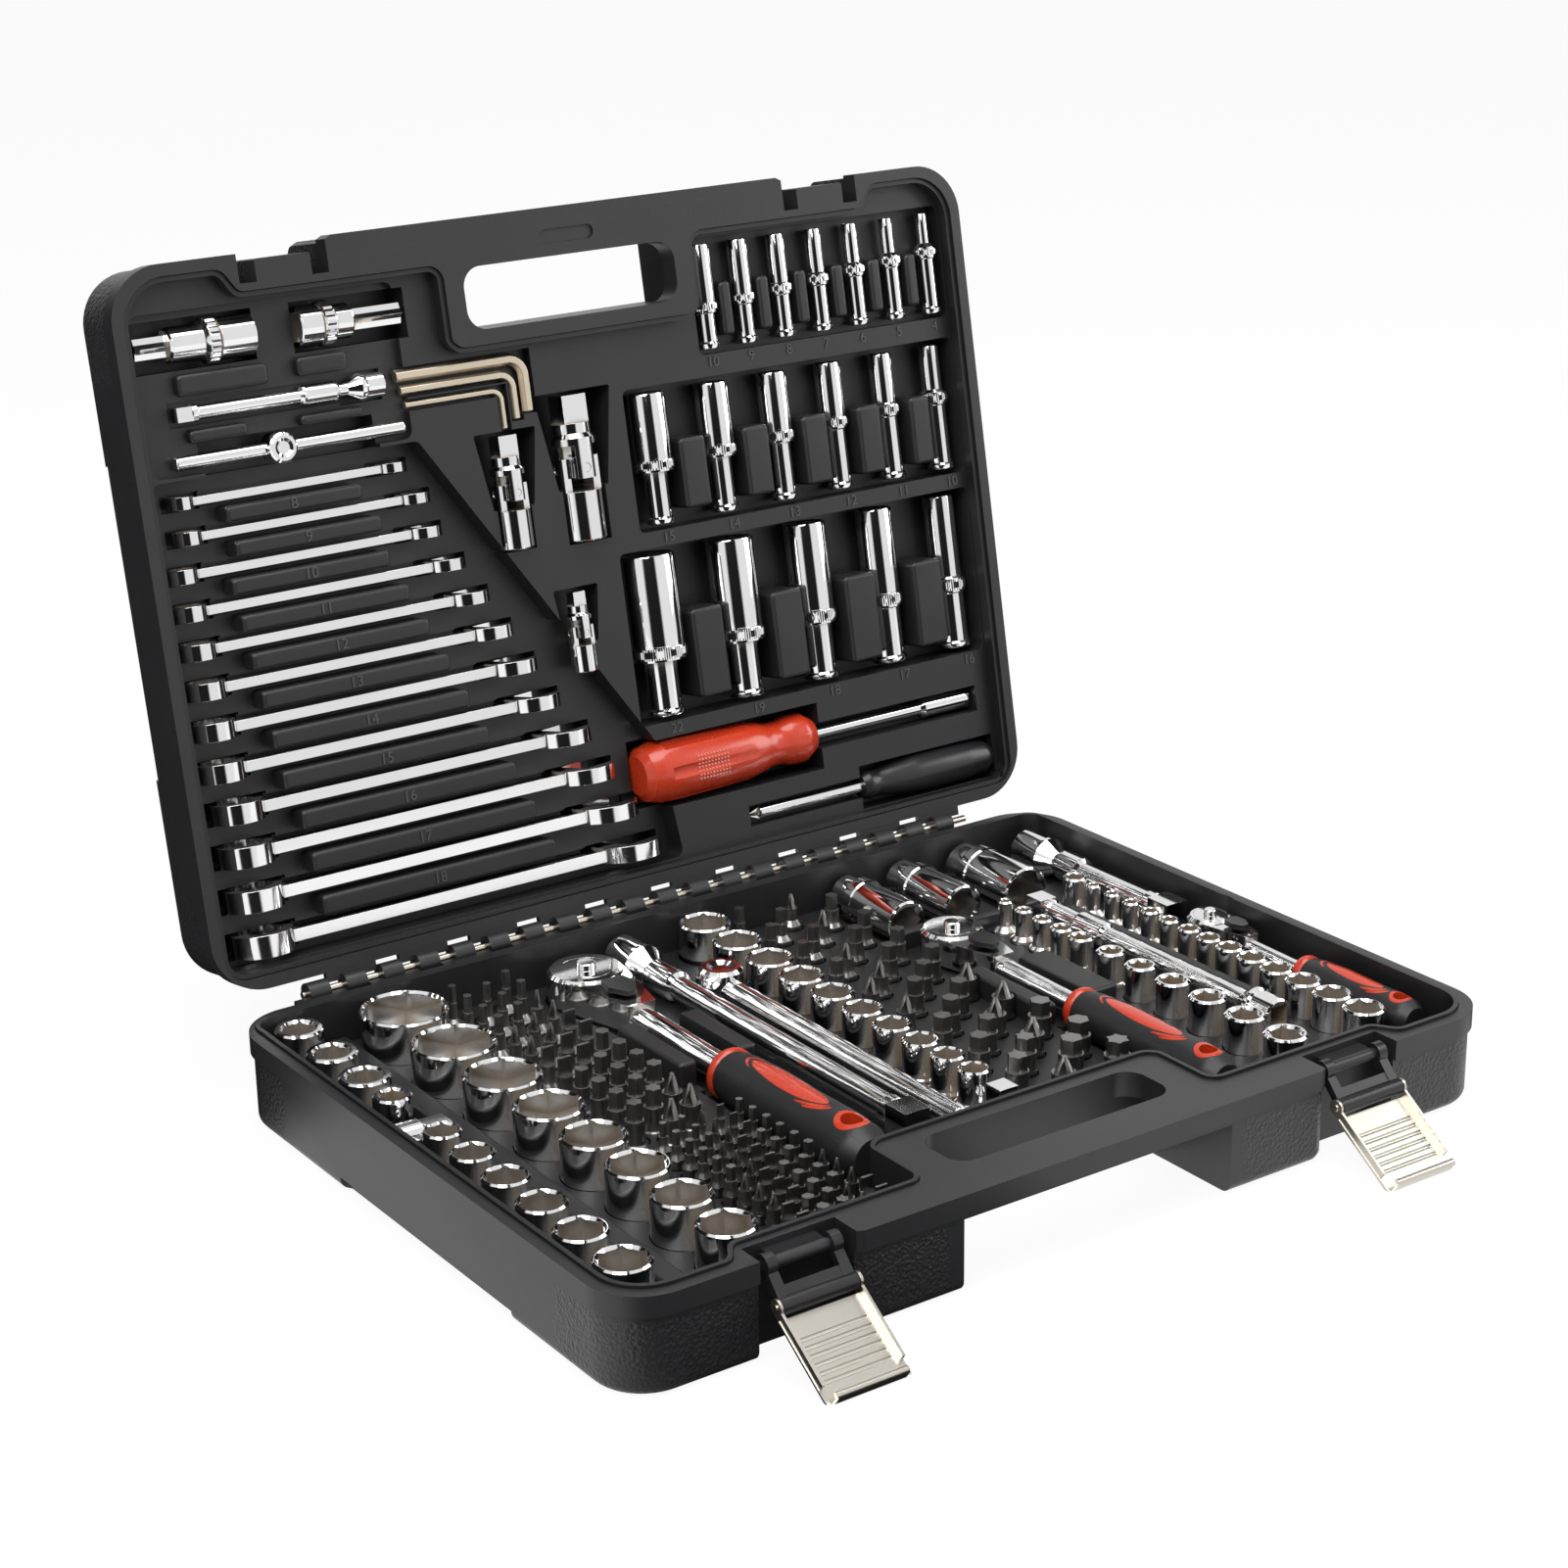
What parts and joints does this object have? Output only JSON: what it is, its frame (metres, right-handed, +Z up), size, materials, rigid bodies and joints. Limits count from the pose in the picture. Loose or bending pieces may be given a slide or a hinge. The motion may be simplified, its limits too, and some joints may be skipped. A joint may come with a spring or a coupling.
{
  "type": "socket wrench set in case",
  "caption": "Folding plastic tool case with latches and carry handle, holding ratchets, sockets, bits, extension bars, combination wrenches and drivers in moulded trays.",
  "frame": {"origin": "centre of the base's bottom rest face", "axes": "+X to the right along the hinge, -Y to the front where the handle is, +Z up from the rest face"},
  "size_m": [0.44, 0.4534, 0.3577],
  "materials": {
    "shell": "satin moulded grain",
    "tray": "fine matt grain",
    "chrome": "polished plating",
    "dark_steel": "grey satin steel",
    "steel": "bright drawn steel",
    "nickel": "nickel plated sheet",
    "grip": "matt black rubber",
    "red": "glossy red plastic",
    "black": "semi gloss black plastic"
  },
  "bodies": {
    "base": {"base_shell": "shell", "base_tray": "tray", "hinge_rod": "steel", "half_inch_sockets": "chrome", "three_eighth_sockets": "chrome", "star_sockets": "chrome", "quarter_sockets": "chrome", "bit_sockets": "dark_steel", "screwdriver_bits": "dark_steel", "large_bits": "dark_steel", "extension_bars": "chrome", "t_bar_rod": "chrome", "spark_plug_sockets": "chrome", "drive_adapters": "chrome"},
    "lid": {"lid_shell": "shell", "lid_tray": "tray", "combination_wrenches": "chrome", "deep_sockets": "chrome", "quarter_t_rod": "chrome", "quarter_extension": "chrome", "star_bit_sockets": "chrome", "hex_keys": "dark_steel", "red_driver_handle": "red", "black_driver_handle": "black", "driver_shafts": "chrome", "half_joint_socket": "chrome", "three_eighth_joint_socket": "chrome", "quarter_joint_socket": "chrome"},
    "t_head": {"t_bar_head": "chrome"},
    "quarter_t_head": {"quarter_t_head": "chrome"},
    "left_link": {"left_latch_link": "black", "left_latch_pin": "steel"},
    "left_lever": {"left_latch_lever": "nickel"},
    "right_link": {"right_latch_link": "black", "right_latch_pin": "steel"},
    "right_lever": {"right_latch_lever": "nickel"},
    "half_ratchet": {"half_ratchet_body": "chrome", "half_ratchet_grip": "grip", "half_ratchet_trim": "red"},
    "half_ratchet_drive": {"half_ratchet_drive": "chrome"},
    "half_ratchet_button": {"half_ratchet_button": "chrome"},
    "half_ratchet_lever": {"half_ratchet_lever": "black"},
    "three_eighth_ratchet": {"three_eighth_ratchet_body": "chrome", "three_eighth_ratchet_grip": "grip", "three_eighth_ratchet_trim": "red"},
    "three_eighth_ratchet_drive": {"three_eighth_ratchet_drive": "chrome"},
    "three_eighth_ratchet_button": {"three_eighth_ratchet_button": "chrome"},
    "three_eighth_ratchet_lever": {"three_eighth_ratchet_lever": "black"},
    "quarter_ratchet": {"quarter_ratchet_body": "chrome", "quarter_ratchet_grip": "grip", "quarter_ratchet_trim": "red"},
    "quarter_ratchet_drive": {"quarter_ratchet_drive": "chrome"},
    "quarter_ratchet_button": {"quarter_ratchet_button": "chrome"},
    "quarter_ratchet_lever": {"quarter_ratchet_lever": "black"},
    "half_cross": {"half_joint_cross": "chrome"},
    "half_yoke": {"half_joint_drive": "chrome"},
    "three_eighth_cross": {"three_eighth_joint_cross": "chrome"},
    "three_eighth_yoke": {"three_eighth_joint_drive": "chrome"},
    "quarter_cross": {"quarter_joint_cross": "chrome"},
    "quarter_yoke": {"quarter_joint_drive": "chrome"}
  },
  "joints": [
    {"name": "lid_hinge", "type": "hinge", "parent": "base", "child": "lid", "pos_m": [0, 0.162, 0.042], "axis": [-1, 0, 0], "range_deg": [-100.7, 0]},
    {"name": "left_link_pivot", "type": "hinge", "parent": "base", "child": "left_link", "pos_m": [-0.1395, -0.15, 0.037], "axis": [-1, 0, 0], "range_deg": [0, 40]},
    {"name": "left_lever_pivot", "type": "hinge", "parent": "left_link", "child": "left_lever", "pos_m": [-0.1395, -0.161, 0.025], "axis": [-1, 0, 0], "range_deg": [0, 135]},
    {"name": "right_link_pivot", "type": "hinge", "parent": "base", "child": "right_link", "pos_m": [0.1395, -0.15, 0.037], "axis": [-1, 0, 0], "range_deg": [0, 40]},
    {"name": "right_lever_pivot", "type": "hinge", "parent": "right_link", "child": "right_lever", "pos_m": [0.1395, -0.161, 0.025], "axis": [-1, 0, 0], "range_deg": [0, 135]},
    {"name": "half_ratchet_lift", "type": "slide", "parent": "base", "child": "half_ratchet", "axis": [0, 0, 1], "range_m": [0, 0.06]},
    {"name": "half_ratchet_drive_spin", "type": "hinge", "parent": "half_ratchet", "child": "half_ratchet_drive", "pos_m": [-0.061, 0.1245, 0.03], "axis": [0, 0, 1], "continuous": true},
    {"name": "half_ratchet_release", "type": "slide", "parent": "half_ratchet_drive", "child": "half_ratchet_button", "axis": [0, 0, 1], "range_m": [-0.002, 0], "stiffness_N_per_m": 400, "springref_m": 0.0005},
    {"name": "half_ratchet_selector", "type": "hinge", "parent": "half_ratchet", "child": "half_ratchet_lever", "pos_m": [-0.061, 0.097, 0.036], "axis": [0, 0, 1], "range_deg": [-18, 18]},
    {"name": "three_eighth_ratchet_lift", "type": "slide", "parent": "base", "child": "three_eighth_ratchet", "axis": [0, 0, 1], "range_m": [0, 0.06]},
    {"name": "three_eighth_ratchet_drive_spin", "type": "hinge", "parent": "three_eighth_ratchet", "child": "three_eighth_ratchet_drive", "pos_m": [0.098, 0.064, 0.03], "axis": [0, 0, 1], "continuous": true},
    {"name": "three_eighth_ratchet_release", "type": "slide", "parent": "three_eighth_ratchet_drive", "child": "three_eighth_ratchet_button", "axis": [0, 0, 1], "range_m": [-0.002, 0], "stiffness_N_per_m": 400, "springref_m": 0.0005},
    {"name": "three_eighth_ratchet_selector", "type": "hinge", "parent": "three_eighth_ratchet", "child": "three_eighth_ratchet_lever", "pos_m": [0.098, 0.041, 0.036], "axis": [0, 0, 1], "range_deg": [-18, 18]},
    {"name": "quarter_ratchet_lift", "type": "slide", "parent": "base", "child": "quarter_ratchet", "axis": [0, 0, 1], "range_m": [0, 0.06]},
    {"name": "quarter_ratchet_drive_spin", "type": "hinge", "parent": "quarter_ratchet", "child": "quarter_ratchet_drive", "pos_m": [0.2015, 0.004, 0.03], "axis": [0, 0, 1], "continuous": true},
    {"name": "quarter_ratchet_release", "type": "slide", "parent": "quarter_ratchet_drive", "child": "quarter_ratchet_button", "axis": [0, 0, 1], "range_m": [-0.002, 0], "stiffness_N_per_m": 400, "springref_m": 0.0005},
    {"name": "quarter_ratchet_selector", "type": "hinge", "parent": "quarter_ratchet", "child": "quarter_ratchet_lever", "pos_m": [0.2015, -0.0132, 0.036], "axis": [0, 0, 1], "range_deg": [-18, 18]},
    {"name": "t_head_slide", "type": "slide", "parent": "base", "child": "t_head", "axis": [0, -1, 0], "range_m": [0, 0.14]},
    {"name": "quarter_t_head_slide", "type": "slide", "parent": "lid", "child": "quarter_t_head", "axis": [1, 0, 0], "range_m": [-0.028, 0.04]},
    {"name": "half_joint_pitch", "type": "hinge", "parent": "lid", "child": "half_cross", "pos_m": [-0.0035, 0.21246, 0.23906], "axis": [1, 0, 0], "range_deg": [-15, 15]},
    {"name": "half_joint_yaw", "type": "hinge", "parent": "half_cross", "child": "half_yoke", "pos_m": [-0.0035, 0.21246, 0.23906], "axis": [0, -0.9826, 0.1857], "range_deg": [-15, 15]},
    {"name": "three_eighth_joint_pitch", "type": "hinge", "parent": "lid", "child": "three_eighth_cross", "pos_m": [-0.0405, 0.20899, 0.23412], "axis": [1, 0, 0], "range_deg": [-15, 15]},
    {"name": "three_eighth_joint_yaw", "type": "hinge", "parent": "three_eighth_cross", "child": "three_eighth_yoke", "pos_m": [-0.0405, 0.20899, 0.23412], "axis": [0, -0.9826, 0.1857], "range_deg": [-15, 15]},
    {"name": "quarter_joint_pitch", "type": "hinge", "parent": "lid", "child": "quarter_cross", "pos_m": [-0.015, 0.1944, 0.16767], "axis": [1, 0, 0], "range_deg": [-15, 15]},
    {"name": "quarter_joint_yaw", "type": "hinge", "parent": "quarter_cross", "child": "quarter_yoke", "pos_m": [-0.015, 0.1944, 0.16767], "axis": [0, -0.9826, 0.1857], "range_deg": [-15, 15]}
  ]
}
